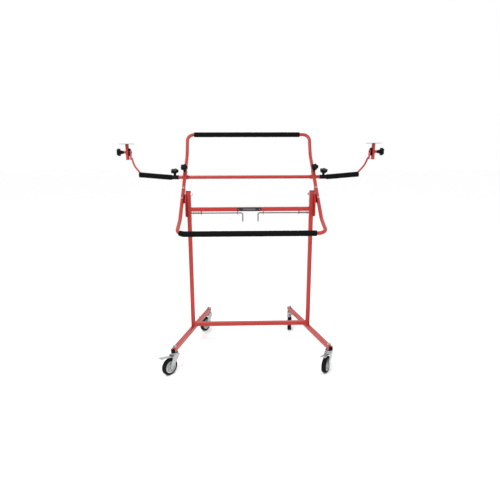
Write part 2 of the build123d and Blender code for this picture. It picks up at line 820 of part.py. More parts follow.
for name, side in SIDES.items():
    a = radians(arm_turn[name])
    up = Vector(0, sin(a), cos(a))
    behind = Vector(0, cos(a), -sin(a))
    arm_plane = Plane((0, bar_y, bar_z), x_dir=(side, 0, 0), z_dir=behind * -side)
    head_y = bar_y + head_up * sin(a)
    head_z = bar_z + head_up * cos(a)

    with BuildPart() as arm:
        with BuildLine(arm_plane) as path:
            FilletPolyline(
                (arm_inner_end, 0),
                (arm_rise_start, 0),
                arm_bend,
                arm_elbow,
                arm_tip,
                radius=[arm_rise_radius, arm_bend_radius, arm_elbow_radius],
            )
        with BuildSketch(Plane((side * arm_inner_end, bar_y, bar_z), x_dir=(0, 1, 0), z_dir=(side, 0, 0))):
            Circle(arm_radius)
        sweep(path=path.line)
        lug = Plane((side * lug_start, bar_y, bar_z), x_dir=behind * side, z_dir=(side, 0, 0))
        with BuildSketch(lug):
            with Locations((0, head_up)):
                Circle(lug_radius)
            with Locations((0, arm_tip[1] - lug_neck_radius / 2)):
                Circle(lug_neck_radius)
            make_hull()
            with Locations((0, head_up)):
                Circle(stud_radius + running, mode=Mode.SUBTRACT)
        extrude(amount=lug_thickness)
    save(arm.part, f"{name}_arm_rod")

    with BuildPart() as foam:
        with BuildLine(arm_plane) as path:
            FilletPolyline((foam_start, 0), (arm_rise_start, 0), arm_foam_end, radius=arm_rise_radius)
        with BuildSketch(Plane((side * foam_start, bar_y, bar_z), x_dir=(0, 1, 0), z_dir=(side, 0, 0))):
            Circle(arm_foam_radius)
        sweep(path=path.line)
        add(arm.part, mode=Mode.SUBTRACT)
    save(foam.part, f"{name}_arm_foam")

    lug_front = Vector(side * (lug_start + lug_thickness), head_y, head_z)
    lug_face = Plane(lug_front, x_dir=(0, 1, 0), z_dir=(side, 0, 0))
    with BuildPart() as friction:
        with BuildSketch(lug_face):
            Circle(friction_radius)
            Circle(stud_radius + running, mode=Mode.SUBTRACT)
        extrude(amount=friction_thickness)
    save(friction.part, f"{name}_friction_disc")

    pad_x = lug_start + lug_thickness + friction_thickness + face_gap
    boss_end = post_x + post_radius + post_boss_length - post_boss_root
    with BuildPart() as post:
        with BuildSketch(Plane.XY.offset(head_z - post_below)):
            with Locations((side * post_x, head_y)):
                Circle(post_radius)
        extrude(amount=post_below + post_above)
        with BuildSketch(Plane((side * pad_x, head_y, head_z), x_dir=(0, 1, 0), z_dir=(side, 0, 0))):
            Circle(post_pad_radius)
        extrude(amount=post_pad_depth)
        with BuildSketch(Plane((side * boss_end, head_y, head_z), x_dir=(0, 1, 0), z_dir=(-side, 0, 0))):
            Circle(post_boss_radius)
        extrude(amount=post_boss_length)
        with BuildSketch(Plane.XY.offset(head_z - post_below)):
            with Locations((side * post_x, head_y)):
                Circle(post_radius - post_wall)
        extrude(amount=post_below + post_above, mode=Mode.SUBTRACT)
        with BuildSketch(Plane((side * post_x, head_y, head_z), x_dir=(0, 1, 0), z_dir=(side, 0, 0))):
            Circle(stud_radius + running)
        extrude(amount=2 * post_radius, both=True, mode=Mode.SUBTRACT)
    save(post.part, f"{name}_post")

    with BuildPart() as disc:
        with BuildSketch(Plane.XY.offset(head_z + post_above)):
            with Locations((side * post_x, head_y)):
                Circle(disc_radius)
        extrude(amount=disc_thickness)
    save(disc.part, f"{name}_support_disc")

    neck = boss_end + knob_gap
    star_knob(
        Plane((side * neck, head_y, head_z), x_dir=(0, 1, 0), z_dir=(side, 0, 0)),
        f"{name}_head_knob",
        neck - lug_start + stud_past_lug,
        head_knob_hub,
        head_knob_radius,
    )
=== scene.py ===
import json
import math

import bmesh
import bpy
from mathutils import Matrix, Vector, noise


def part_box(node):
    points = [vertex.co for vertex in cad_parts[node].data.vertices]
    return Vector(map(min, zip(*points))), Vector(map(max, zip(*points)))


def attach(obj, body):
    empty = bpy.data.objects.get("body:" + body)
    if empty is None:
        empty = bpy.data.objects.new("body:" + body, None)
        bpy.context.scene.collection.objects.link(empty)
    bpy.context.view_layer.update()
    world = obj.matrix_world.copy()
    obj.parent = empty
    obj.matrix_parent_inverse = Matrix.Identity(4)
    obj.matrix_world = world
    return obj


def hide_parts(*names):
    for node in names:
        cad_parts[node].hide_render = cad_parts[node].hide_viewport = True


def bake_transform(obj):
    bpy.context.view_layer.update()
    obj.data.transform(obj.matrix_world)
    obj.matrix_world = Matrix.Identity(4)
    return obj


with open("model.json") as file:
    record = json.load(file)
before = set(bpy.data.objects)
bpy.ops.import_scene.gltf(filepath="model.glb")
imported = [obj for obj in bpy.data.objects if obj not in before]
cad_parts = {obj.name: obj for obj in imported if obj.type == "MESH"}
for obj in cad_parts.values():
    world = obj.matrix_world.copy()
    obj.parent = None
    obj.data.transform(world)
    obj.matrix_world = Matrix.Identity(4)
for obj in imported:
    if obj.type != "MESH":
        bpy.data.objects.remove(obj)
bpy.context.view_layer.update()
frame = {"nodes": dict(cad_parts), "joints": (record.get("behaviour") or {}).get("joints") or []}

# ---- Camera ----
# It stands in front of the stand and a little to the left, at about chest height,
# and looks down by a few degrees.

camera = bpy.data.objects.new("camera", bpy.data.cameras.new("camera"))
bpy.context.scene.collection.objects.link(camera)
camera.data.lens = 28.83
camera.data.sensor_width = 36.0
look_down = math.radians(12.905)
look_right = math.radians(1.581)
roll = math.radians(-0.149)
camera.matrix_world = (
    Matrix.Translation((-0.0718, -2.4744, 1.2381))
    @ Matrix.Rotation(-look_right, 4, "Z")
    @ Matrix.Rotation(math.pi / 2 - look_down, 4, "X")
    @ Matrix.Rotation(roll, 4, "Z")
)
bpy.context.scene.camera = camera

# ---- Red steel frame ----
# The legs, columns, crossbars, guides, bent tubes and sector plates are welded mild
# steel, sprayed with red powder and baked.

nodes = frame["nodes"]
mm = 0.001
SIDES = {"left": -1, "right": 1}


def linear(hex_colour):
    """An sRGB hex colour as the linear colour that a shader takes."""
    values = [int(hex_colour[i : i + 2], 16) / 255 for i in (1, 3, 5)]
    return [v / 12.92 if v <= 0.04045 else ((v + 0.055) / 1.055) ** 2.4 for v in values] + [1.0]


def add(tree, kind, inputs=None, **settings):
    """Adds one shader node. An input is a value, or the socket that feeds it."""
    node = tree.nodes.new(kind)
    for name, value in settings.items():
        setattr(node, name, value)
    for name, value in (inputs or {}).items():
        if isinstance(value, bpy.types.NodeSocket):
            tree.links.new(value, node.inputs[name])
        else:
            node.inputs[name].default_value = value
    return node


def new_material(name):
    material = bpy.data.materials.new(name)
    material.use_nodes = True
    tree = material.node_tree
    return material, tree, tree.nodes["Principled BSDF"]


def powder_coated_steel():
    """Baked polyester powder: an even gloss with a shallow orange peel of about 1.5 mm,
    a slow drift of shade, and small dull scuffs where tools have knocked it."""
    material, tree, shader = new_material("powder_coated_steel_red")
    place = add(tree, "ShaderNodeTexCoord").outputs["Object"]
    drift = add(tree, "ShaderNodeTexNoise", {"Vector": place, "Scale": 1 / (90 * mm), "Detail": 3.0})
    shade = add(
        tree,
        "ShaderNodeMix",
        {0: drift.outputs["Fac"], 6: linear("#96150C"), 7: linear("#A81D12")},
        data_type="RGBA",
    )
    spots = add(
        tree, "ShaderNodeTexNoise", {"Vector": place, "Scale": 1 / (14 * mm), "Detail": 6.0, "Roughness": 0.7}
    )
    scuff = add(
        tree,
        "ShaderNodeMapRange",
        {"Value": spots.outputs["Fac"], "From Min": 0.66, "From Max": 0.74, "To Min": 0.0, "To Max": 0.45},
    )
    colour = add(
        tree,
        "ShaderNodeMix",
        {0: scuff.outputs[0], 6: shade.outputs[2], 7: linear("#71261F")},
        data_type="RGBA",
    )
    gloss = add(tree, "ShaderNodeMapRange", {"Value": spots.outputs["Fac"], "To Min": 0.24, "To Max": 0.5})
    peel = add(tree, "ShaderNodeTexNoise", {"Vector": place, "Scale": 1 / (1.5 * mm), "Detail": 1.0})
    bump = add(
        tree, "ShaderNodeBump", {"Height": peel.outputs["Fac"], "Strength": 0.12, "Distance": 0.2 * mm}
    )
    tree.links.new(colour.outputs[2], shader.inputs["Base Color"])
    tree.links.new(gloss.outputs[0], shader.inputs["Roughness"])
    tree.links.new(bump.outputs["Normal"], shader.inputs["Normal"])
    shader.inputs["Coat Weight"].default_value = 0.1
    shader.inputs["Coat Roughness"].default_value = 0.12
    return material


def finish_node(name, material):
    """Gives a CAD node one material all over."""
    mesh = nodes[name].data
    mesh.materials.clear()
    mesh.materials.append(material)


red_steel = powder_coated_steel()
for name in (
    "base_crossbar", "upper_crossbar", "rod_guides", "tilt_frame", "cross_bar", "slide_clamps",
    *[f"{side}_{part}" for side in SIDES for part in ("leg", "upright", "sector_plate", "arm_rod", "post")],
):
    finish_node(name, red_steel)

# ---- Weld beads ----
# Each joint of the welded steel has a bead of overlapping drops, laid by hand with wire
# and coated with the rest. They are about 4 mm wide.

bead_radius = 2.2 * mm
bead_step = 2.6 * mm
bead_unevenness = 0.18
bead_pattern = 900      # how quickly the unevenness changes along a bead
bead_shape = (1.15, 1.0, 0.75, 1.0)


def mesh_piece(name, bm, material, body, smooth=True):
    """Makes a finished piece from a bmesh. It rides on a body, if one is given."""
    bmesh.ops.recalc_face_normals(bm, faces=bm.faces[:])
    for face in bm.faces:
        face.smooth = smooth
    mesh = bpy.data.meshes.new(name)
    bm.to_mesh(mesh)
    bm.free()
    mesh.materials.append(material)
    piece = bpy.data.objects.new(name, mesh)
    bpy.context.scene.collection.objects.link(piece)
    if body:
        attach(piece, body)
    return piece


def lay_bead(bm, corners, out):
    """Drops along a run of corners, flattened towards the joint along out."""
    for start, end in zip(corners, corners[1:]):
        run = end - start
        count = max(2, round(run.length / bead_step))
        turn = run.to_track_quat("X", "Z").to_matrix().to_4x4()
        for i in range(count):
            at = start + run * (i + 0.5) / count
            size = bead_radius * (1 + bead_unevenness * noise.noise(at * bead_pattern))
            place = Matrix.Translation(at + out * size * 0.1)
            bmesh.ops.create_uvsphere(
                bm, u_segments=8, v_segments=5, radius=size, matrix=place @ turn @ Matrix.Diagonal(bead_shape)
            )


def ring_of(centre, across, up, half_across, half_up):
    """The corners of a closed rectangle round a tube."""
    signs = ((-1, -1), (1, -1), (1, 1), (-1, 1), (-1, -1))
    return [centre + across * half_across * a + up * half_up * b for a, b in signs]


welds = bmesh.new()
tube_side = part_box("upper_crossbar")[1].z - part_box("upper_crossbar")[0].z
half_tube = tube_side / 2
x_way, y_way, z_way = Vector((1, 0, 0)), Vector((0, 1, 0)), Vector((0, 0, 1))
for side, sign in SIDES.items():
    low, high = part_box(f"{side}_upright")
    foot = Vector(((low.x + high.x) / 2, (low.y + high.y) / 2, low.z))
    lay_bead(welds, ring_of(foot, x_way, y_way, half_tube, half_tube)[0:2], -y_way)
    lay_bead(welds, ring_of(foot, x_way, y_way, half_tube, half_tube)[2:4], y_way)
    for bar in ("base_crossbar", "upper_crossbar"):
        bar_low, bar_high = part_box(bar)
        middle = (bar_low + bar_high) / 2
        joint = Vector((bar_high.x * sign, middle.y, middle.z))
        lay_bead(welds, ring_of(joint, y_way, z_way, half_tube - 1 * mm, half_tube), -x_way * sign)
guide_low, guide_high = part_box("rod_guides")
guide_y = (guide_low.y + guide_high.y) / 2
bead_half_length = (guide_high.y - guide_low.y) / 2 * 0.8
inner_guide_x = 80 * mm
guide_faces = (-2 * mm, 2 * mm)
for x in (-guide_high.x, -inner_guide_x, inner_guide_x, guide_high.x):
    for face in guide_faces:
        offset = face if abs(x) == inner_guide_x else 0
        middle = Vector((x + offset, guide_y, guide_high.z))
        lay_bead(welds, [middle - y_way * bead_half_length, middle + y_way * bead_half_length], -z_way)
base_beads = mesh_piece("base_weld_beads", welds, red_steel, "base")

bar_low, bar_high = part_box("cross_bar")
bar_middle = (bar_low + bar_high) / 2
bar_radius = (bar_high.z - bar_low.z) / 2
clamp_half_width = 17 * mm
frame_tube_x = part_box("tilt_frame")[1].x - bar_radius
bar_beads = bmesh.new()
for sign in SIDES.values():
    for end in (-clamp_half_width, clamp_half_width):
        centre = Vector((sign * frame_tube_x + end, bar_middle.y, bar_middle.z))
        turns = [math.radians(a) for a in range(0, 361, 12)]
        ring = [centre + (y_way * math.cos(a) + z_way * math.sin(a)) * (bar_radius + 1 * mm) for a in turns]
        lay_bead(bar_beads, ring, Vector())
clamp_beads = mesh_piece("clamp_weld_beads", bar_beads, red_steel, "bar")

# ---- Zinc-plated fasteners, lock rods and castor steel ----
# Bolts, nuts, springs, sliding rods, forks and pedals are pressed or turned steel with a
# bright electroplated coat of zinc.

CASTERS = ("front_left", "front_right", "rear_left", "rear_right")


def zinc_plated_steel(name, dark, light, shine, bloom):
    """Electroplated zinc: a soft metal gloss with cloudy patches of about 8 mm, drawing
    marks finer than a millimetre, and a trace of grey bloom."""
    material, tree, shader = new_material(name)
    place = add(tree, "ShaderNodeTexCoord").outputs["Object"]
    cloud = add(tree, "ShaderNodeTexNoise", {"Vector": place, "Scale": 1 / (8 * mm), "Detail": 4.0})
    tint = add(
        tree,
        "ShaderNodeMix",
        {0: cloud.outputs["Fac"], 6: linear(dark), 7: linear(light)},
        data_type="RGBA",
    )
    gloss = add(tree, "ShaderNodeMapRange", {"Value": cloud.outputs["Fac"], "To Min": shine, "To Max": bloom})
    grain = add(tree, "ShaderNodeTexNoise", {"Vector": place, "Scale": 1 / (0.8 * mm), "Detail": 2.0})
    bump = add(
        tree, "ShaderNodeBump", {"Height": grain.outputs["Fac"], "Strength": 0.08, "Distance": 0.1 * mm}
    )
    tree.links.new(tint.outputs[2], shader.inputs["Base Color"])
    tree.links.new(gloss.outputs[0], shader.inputs["Roughness"])
    tree.links.new(bump.outputs["Normal"], shader.inputs["Normal"])
    shader.inputs["Metallic"].default_value = 1.0
    return material


zinc = zinc_plated_steel("zinc_plated_steel", "#94989C", "#C2C3C0", 0.24, 0.46)
for name in (
    "bracket_bolts", "bracket_nuts", "pivot_nuts", "caster_stems", "caster_nuts",
    *[f"{side}_support_disc" for side in SIDES],
    *[f"{caster}_{part}" for caster in CASTERS for part in ("fork", "brake_pedal")],
):
    finish_node(name, zinc)

# The pieces that slide and turn have lost their shine to grease and handling
worn_zinc = zinc_plated_steel("handled_zinc_steel", "#63676A", "#8B8C8A", 0.42, 0.62)
for name in ("pivot_bolts", *[f"{side}_lock_rod" for side in SIDES]):
    finish_node(name, worn_zinc)

# ---- Lock springs ----
# Open-coiled spring wire round each lock rod, between its guide and its collar. On the real
# stand a coil closes up as the rod is pulled in, and opens as the rod goes out into a hole;
# this coil is built at rest and rides on no body.

spring_wire = 0.8 * mm
spring_turns = 8
steps_per_turn = 28
for side, sign in SIDES.items():
    low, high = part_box(f"{side}_lock_spring")
    centre = (low + high) / 2
    guide_end, collar_end = (high.x, low.x) if sign < 0 else (low.x, high.x)
    coil_radius = (high.z - low.z) / 2 - spring_wire
    coil_length = abs(collar_end - guide_end) - 2 * spring_wire
    coil = bmesh.new()
    wire = bmesh.ops.create_circle(
        coil,
        segments=12,
        radius=spring_wire,
        matrix=Matrix.Translation((guide_end + sign * spring_wire, centre.y, centre.z + coil_radius))
        @ Matrix.Rotation(math.pi / 2, 4, "X"),
    )["verts"]
    steps = spring_turns * steps_per_turn
    bmesh.ops.spin(
        coil,
        geom=wire + list(dict.fromkeys(e for v in wire for e in v.link_edges)),
        cent=(guide_end, centre.y, centre.z),
        axis=x_way,
        dvec=x_way * sign * coil_length / steps,
        angle=math.tau * spring_turns,
        steps=steps,
    )
    bmesh.ops.holes_fill(coil, edges=[e for e in coil.edges if e.is_boundary], sides=0)
    spring = mesh_piece(f"{side}_coil_spring", coil, worn_zinc, None)
    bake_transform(spring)
    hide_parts(f"{side}_lock_spring")

# ---- Black plastic caps and star knobs ----
# Injection-moulded nylon: push-in caps for the tube ends, and knobs moulded on to
# threaded studs.


def moulded_nylon():
    """Black nylon from a spark-eroded mould: an even satin grain of half a millimetre,
    worn a little smoother in patches where hands turn it."""
    material, tree, shader = new_material("moulded_black_nylon")
    place = add(tree, "ShaderNodeTexCoord").outputs["Object"]
    wear = add(tree, "ShaderNodeTexNoise", {"Vector": place, "Scale": 1 / (18 * mm), "Detail": 3.0})
    tint = add(
        tree,
        "ShaderNodeMix",
        {0: wear.outputs["Fac"], 6: linear("#040405"), 7: linear("#0B0C0D")},
        data_type="RGBA",
    )
    gloss = add(tree, "ShaderNodeMapRange", {"Value": wear.outputs["Fac"], "To Min": 0.36, "To Max": 0.56})
    grain = add(tree, "ShaderNodeTexVoronoi", {"Vector": place, "Scale": 1 / (0.5 * mm)})
    bump = add(
        tree, "ShaderNodeBump", {"Height": grain.outputs["Distance"], "Strength": 0.15, "Distance": 0.08 * mm}
    )
    tree.links.new(tint.outputs[2], shader.inputs["Base Color"])
    tree.links.new(gloss.outputs[0], shader.inputs["Roughness"])
    tree.links.new(bump.outputs["Normal"], shader.inputs["Normal"])
    shader.inputs["IOR"].default_value = 1.53
    shader.inputs["Specular IOR Level"].default_value = 0.08
    return material


nylon = moulded_nylon()
finish_node("tube_end_caps", nylon)
for side in SIDES:
    for part in ("clamp_knob", "socket_knob", "head_knob", "arm_socket"):
        finish_node(f"{side}_{part}", nylon)


# ---- Friction discs ----
# A rubber washer between each arm's end plate and its post, ribbed so that it grips.


def moulded_rubber(name, dark, light, dust_size):
    """Vulcanised black rubber: nearly matt, with a bloom of fine dust in patches."""
    material, tree, shader = new_material(name)
    place = add(tree, "ShaderNodeTexCoord").outputs["Object"]
    dust = add(
        tree,
        "ShaderNodeTexNoise",
        {"Vector": place, "Scale": 1 / dust_size, "Detail": 6.0, "Roughness": 0.65},
    )
    tint = add(
        tree, "ShaderNodeMix", {0: dust.outputs["Fac"], 6: linear(dark), 7: linear(light)}, data_type="RGBA"
    )
    gloss = add(tree, "ShaderNodeMapRange", {"Value": dust.outputs["Fac"], "To Min": 0.55, "To Max": 0.85})
    skin = add(tree, "ShaderNodeTexNoise", {"Vector": place, "Scale": 1 / (1.2 * mm), "Detail": 3.0})
    bump = add(
        tree, "ShaderNodeBump", {"Height": skin.outputs["Fac"], "Strength": 0.2, "Distance": 0.15 * mm}
    )
    tree.links.new(tint.outputs[2], shader.inputs["Base Color"])
    tree.links.new(gloss.outputs[0], shader.inputs["Roughness"])
    tree.links.new(bump.outputs["Normal"], shader.inputs["Normal"])
    shader.inputs["IOR"].default_value = 1.52
    shader.inputs["Specular IOR Level"].default_value = 0.08
    return material


washer_rubber = moulded_rubber("moulded_rubber_washer", "#060606", "#121211", 12 * mm)
rib_height = 0.5 * mm
ribs = 10
rib_spread = 0.96       # share of the edge's width that the ribs take up
edge_drop = 0.8 * mm
stud_bore = 4.1 * mm


def turned(profile, centre, axis, segments=64):
    """A shape turned round an axis from a closed outline of (along, radius)."""
    bm = bmesh.new()
    turn = axis.to_track_quat("Z", "Y").to_matrix().to_4x4()
    verts = [bm.verts.new((radius, 0, along)) for along, radius in profile]
    edges = [bm.edges.new((a, b)) for a, b in zip(verts, verts[1:] + verts[:1])]
    bmesh.ops.spin(
        bm, geom=verts + edges, cent=(0, 0, 0), axis=(0, 0, 1), angle=math.tau, steps=segments, use_merge=True
    )
    bmesh.ops.remove_doubles(bm, verts=bm.verts[:], dist=1e-6)
    bm.transform(Matrix.Translation(centre) @ turn)
    return bm


for side, sign in SIDES.items():
    low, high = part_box(f"{side}_friction_disc")
    centre = (low + high) / 2
    radius = (high.z - low.z) / 2
    thickness = high.x - low.x
    outline = [
        (-thickness / 2, radius - edge_drop),
        (-thickness / 2, stud_bore),
        (thickness / 2, stud_bore),
        (thickness / 2, radius - edge_drop),
    ]
    for i in range(ribs * 2 + 1):
        along = thickness / 2 - thickness * i / (ribs * 2)
        outline.append((along * rib_spread, radius - (rib_height if i % 2 else 0)))
    washer = mesh_piece(
        f"{side}_ribbed_washer", turned(outline, centre, x_way), washer_rubber, f"{side}_arm", smooth=False
    )
    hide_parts(f"{side}_friction_disc")

# ---- Blank plate on the upper crossbar ----
# A pressed plate in black enamel, held by two dome rivets. A plain raised line runs
# round its edge.


def black_enamel():
    """Stoved enamel on thin sheet: deep black and glossy, with faint waves in the sheet."""
    material, tree, shader = new_material("black_enamelled_sheet")
    place = add(tree, "ShaderNodeTexCoord").outputs["Object"]
    wave = add(tree, "ShaderNodeTexNoise", {"Vector": place, "Scale": 1 / (25 * mm), "Detail": 2.0})
    tint = add(
        tree,
        "ShaderNodeMix",
        {0: wave.outputs["Fac"], 6: linear("#0B0B0D"), 7: linear("#151518")},
        data_type="RGBA",
    )
    gloss = add(tree, "ShaderNodeMapRange", {"Value": wave.outputs["Fac"], "To Min": 0.18, "To Max": 0.34})
    bump = add(tree, "ShaderNodeBump", {"Height": wave.outputs["Fac"], "Strength": 0.1, "Distance": 0.3 * mm})
    tree.links.new(tint.outputs[2], shader.inputs["Base Color"])
    tree.links.new(gloss.outputs[0], shader.inputs["Roughness"])
    tree.links.new(bump.outputs["Normal"], shader.inputs["Normal"])
    return material


plate_low, plate_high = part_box("label_plate")
plate_thickness = 1.0 * mm
plate_corner = 2 * mm
border_inset = 1.6 * mm
border_width = 0.8 * mm
border_height = 0.4 * mm
plate = bmesh.new()
bmesh.ops.create_cube(plate, size=1.0)
plate_size = Vector((plate_high.x - plate_low.x, plate_thickness, plate_high.z - plate_low.z))
bmesh.ops.scale(plate, vec=plate_size, verts=plate.verts[:])
back_of_plate = plate_high.y
plate_middle = Vector(
    ((plate_low.x + plate_high.x) / 2, back_of_plate - plate_thickness / 2, (plate_low.z + plate_high.z) / 2)
)
bmesh.ops.translate(plate, vec=plate_middle, verts=plate.verts[:])
upright_edges = [e for e in plate.edges if abs((e.verts[0].co - e.verts[1].co).y) > plate_thickness / 2]
bmesh.ops.bevel(
    plate, geom=upright_edges, offset=plate_corner, segments=5, profile=0.5, affect="EDGES", material=-1
)
front = min(plate.faces, key=lambda f: f.calc_center_median().y)
bmesh.ops.inset_region(plate, faces=[front], thickness=border_inset, use_even_offset=True)
raised = bmesh.ops.inset_region(plate, faces=[front], thickness=border_width, use_even_offset=True)["faces"]
moved = bmesh.ops.extrude_face_region(plate, geom=raised)["geom"]
raised_verts = [v for v in moved if isinstance(v, bmesh.types.BMVert)]
bmesh.ops.translate(plate, vec=(0, -border_height, 0), verts=raised_verts)
bmesh.ops.delete(plate, geom=raised, context="FACES_ONLY")
blank = mesh_piece("blank_plate", plate, black_enamel(), "base", smooth=False)
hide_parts("label_plate")

panel = bmesh.new()
panel_thickness = 0.3 * mm
panel_corner = 1.5 * mm
panel_sunk = 0.1 * mm
panel_size = Vector((plate_size.x * 0.52, panel_thickness, plate_size.z * 0.5))
bmesh.ops.create_cube(panel, size=1.0)
bmesh.ops.scale(panel, vec=panel_size, verts=panel.verts[:])
panel_edges = [e for e in panel.edges if abs((e.verts[0].co - e.verts[1].co).y) > panel_thickness / 2]
bmesh.ops.bevel(
    panel, geom=panel_edges, offset=panel_corner, segments=4, profile=0.5, affect="EDGES", material=-1
)
panel_y = back_of_plate - plate_thickness - border_height - panel_sunk
bmesh.ops.translate(panel, vec=(plate_middle.x, panel_y, plate_middle.z), verts=panel.verts[:])


def brushed_aluminium_panel():
    """A blank inset of anodised aluminium: satin grey, with fine brushing along its length."""
    material, tree, shader = new_material("brushed_aluminium_panel")
    place = add(tree, "ShaderNodeTexCoord").outputs["Object"]
    stretch = add(tree, "ShaderNodeMapping", {"Vector": place, "Scale": (1 / (30 * mm), 1.0, 1 / (0.4 * mm))})
    brush = add(
        tree, "ShaderNodeTexNoise", {"Vector": stretch.outputs["Vector"], "Scale": 1.0, "Detail": 2.0}
    )
    tint = add(
        tree,
        "ShaderNodeMix",
        {0: brush.outputs["Fac"], 6: linear("#55575A"), 7: linear("#77797C")},
        data_type="RGBA",
    )
    bump = add(
        tree, "ShaderNodeBump", {"Height": brush.outputs["Fac"], "Strength": 0.15, "Distance": 0.05 * mm}
    )
    tree.links.new(tint.outputs[2], shader.inputs["Base Color"])
    tree.links.new(bump.outputs["Normal"], shader.inputs["Normal"])
    shader.inputs["Roughness"].default_value = 0.4
    shader.inputs["Metallic"].default_value = 0.8
    return material


inset_panel = mesh_piece("plate_panel", panel, brushed_aluminium_panel(), "base", smooth=False)

rivets = bmesh.new()
rivet_radius = 2.5 * mm
rivet_inset = 10 * mm
dome_shape = Matrix.Diagonal((1, 0.48, 1, 1))
for x in (plate_low.x + rivet_inset, plate_high.x - rivet_inset):
    at = Matrix.Translation((x, back_of_plate - plate_thickness, plate_middle.z))
    bmesh.ops.create_uvsphere(
        rivets, u_segments=24, v_segments=12, radius=rivet_radius, matrix=at @ dome_shape
    )
dome_rivets = mesh_piece("plate_rivets", rivets, zinc, "base")

# ---- Foam sleeves ----
# Extruded closed-cell foam, split along one side, stretched over the steel and glued.
# The skin is black and matt, a little lumpy, and pinched where the ends are cut.


def closed_cell_foam():
    """Nitrile foam with its extruded skin: cells of about 1.6 mm show as shallow dimples,
    drawn coarser than the real ones so that they show, and the black is a little lighter in patches of about
    35 mm."""
    material, tree, shader = new_material("closed_cell_foam_black")
    place = add(tree, "ShaderNodeTexCoord").outputs["Object"]
    cells = add(tree, "ShaderNodeTexVoronoi", {"Vector": place, "Scale": 1 / (1.6 * mm)})
    patches = add(tree, "ShaderNodeTexNoise", {"Vector": place, "Scale": 1 / (35 * mm), "Detail": 5.0})
    tint = add(
        tree,
        "ShaderNodeMix",
        {0: patches.outputs["Fac"], 6: linear("#020202"), 7: linear("#090909")},
        data_type="RGBA",
    )
    gloss = add(tree, "ShaderNodeMapRange", {"Value": patches.outputs["Fac"], "To Min": 0.62, "To Max": 0.82})
    coarse = add(
        tree, "ShaderNodeBump", {"Height": patches.outputs["Fac"], "Strength": 0.3, "Distance": 1 * mm}
    )
    fine = add(
        tree,
        "ShaderNodeBump",
        {
            "Height": cells.outputs["Distance"],
            "Normal": coarse.outputs["Normal"],
            "Strength": 0.22,
            "Distance": 0.2 * mm,
        },
    )
    tree.links.new(tint.outputs[2], shader.inputs["Base Color"])
    tree.links.new(gloss.outputs[0], shader.inputs["Roughness"])
    tree.links.new(fine.outputs["Normal"], shader.inputs["Normal"])
    shader.inputs["Specular IOR Level"].default_value = 0.08
    return material


foam = closed_cell_foam()
foam_segments = 40
lip = 2.5 * mm


def lip_radii(outer, inner):
    """How far along and how wide the rings are that round off a cut end."""
    hidden = inner * 0.85
    turns = [math.radians(a) for a in (0, 30, 60, 90)]
    return [(0.0, hidden), (0.0, inner)] + [
        (lip * (1 - math.cos(a)), outer - lip + lip * math.sin(a)) for a in turns
    ]


def sleeve(name, stations, inner, body, cad_node):
    """A foam sleeve along stations of (centre, direction, outer radius)."""
    bm = bmesh.new()
    first, last = stations[0], stations[-1]
    rings = [(first[0] + first[1] * along, first[1], radius) for along, radius in lip_radii(first[2], inner)]
    rings += stations[1:-1]
    end_lip = reversed(lip_radii(last[2], inner))
    rings += [(last[0] - last[1] * along, last[1], radius) for along, radius in end_lip]
    ring = bmesh.ops.create_circle(bm, cap_ends=True, segments=foam_segments, radius=1.0)["verts"]
    edges = list(dict.fromkeys(e for v in ring for e in v.link_edges))
    places = [ring]
    for _ in rings[1:]:
        grown = bmesh.ops.extrude_edge_only(bm, edges=edges)["geom"]
        grown_edges = [g for g in grown if isinstance(g, bmesh.types.BMEdge)]
        edges = [e for e in grown_edges if all(v not in places[-1] for v in e.verts)]
        new_verts = list(dict.fromkeys(v for e in edges for v in e.verts))
        places.append(new_verts)
        edges = [e for e in edges if e.verts[0] in new_verts and e.verts[1] in new_verts]
    for verts, (centre, direction, radius) in zip(places, rings):
        turn = direction.to_track_quat("Z", "Y").to_matrix().to_4x4()
        place = Matrix.Translation(centre) @ turn @ Matrix.Scale(radius, 4)
        bmesh.ops.transform(bm, matrix=place, verts=verts)
    bmesh.ops.contextual_create(bm, geom=edges)
    for verts, (centre, direction, radius) in zip(places, rings):
        for v in verts:
            if radius > inner * 1.05:
                away = (v.co - centre).normalized()
                swell = 0.45 * mm * noise.noise(v.co * 28)
                dimple = 0.2 * mm * noise.noise(v.co * 110)
                v.co += away * (swell + dimple - 0.2 * mm)
    piece = mesh_piece(name, bm, foam, body)
    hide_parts(cad_node)
    return piece


def straight_run(start, end, radius, step):
    """Stations along a straight run, all of one radius."""
    run = end - start
    count = max(2, round(run.length / step))
    return [(start + run * i / count, run.normalized(), radius) for i in range(count + 1)]


foam_step = 8 * mm
low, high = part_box("upper_foam")
foam_radius = (high.z - low.z) / 2
centre = (low + high) / 2
start, end = Vector((low.x, centre.y, centre.z)), Vector((high.x, centre.y, centre.z))
top_run = straight_run(start, end, foam_radius, foam_step)
sleeve("upper_foam_sleeve", top_run, bar_radius, "tilt", "upper_foam")

# The lower sleeve also goes 40 degrees round the frame's left corner
low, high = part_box("lower_foam")
corner_radius = 50 * mm
corner_wrap = math.radians(40)
foot_lean = math.radians(70)
up_the_frame = Vector((0, math.sin(foot_lean), math.cos(foot_lean)))
foot_y, foot_z = low.y + foam_radius, low.z + foam_radius
bend_x = -frame_tube_x + corner_radius
start, end = Vector((high.x, foot_y, foot_z)), Vector((bend_x, foot_y, foot_z))
bottom_run = straight_run(start, end, foam_radius, foam_step)
bend_centre = end + up_the_frame * corner_radius
wrap_steps = 8
for i in range(1, wrap_steps + 1):
    a = corner_wrap * i / wrap_steps
    place = bend_centre - x_way * corner_radius * math.sin(a) - up_the_frame * corner_radius * math.cos(a)
    direction = -x_way * math.cos(a) + up_the_frame * math.sin(a)
    bottom_run.append((place, direction, foam_radius))
sleeve("lower_foam_sleeve", bottom_run, bar_radius, "tilt", "lower_foam")

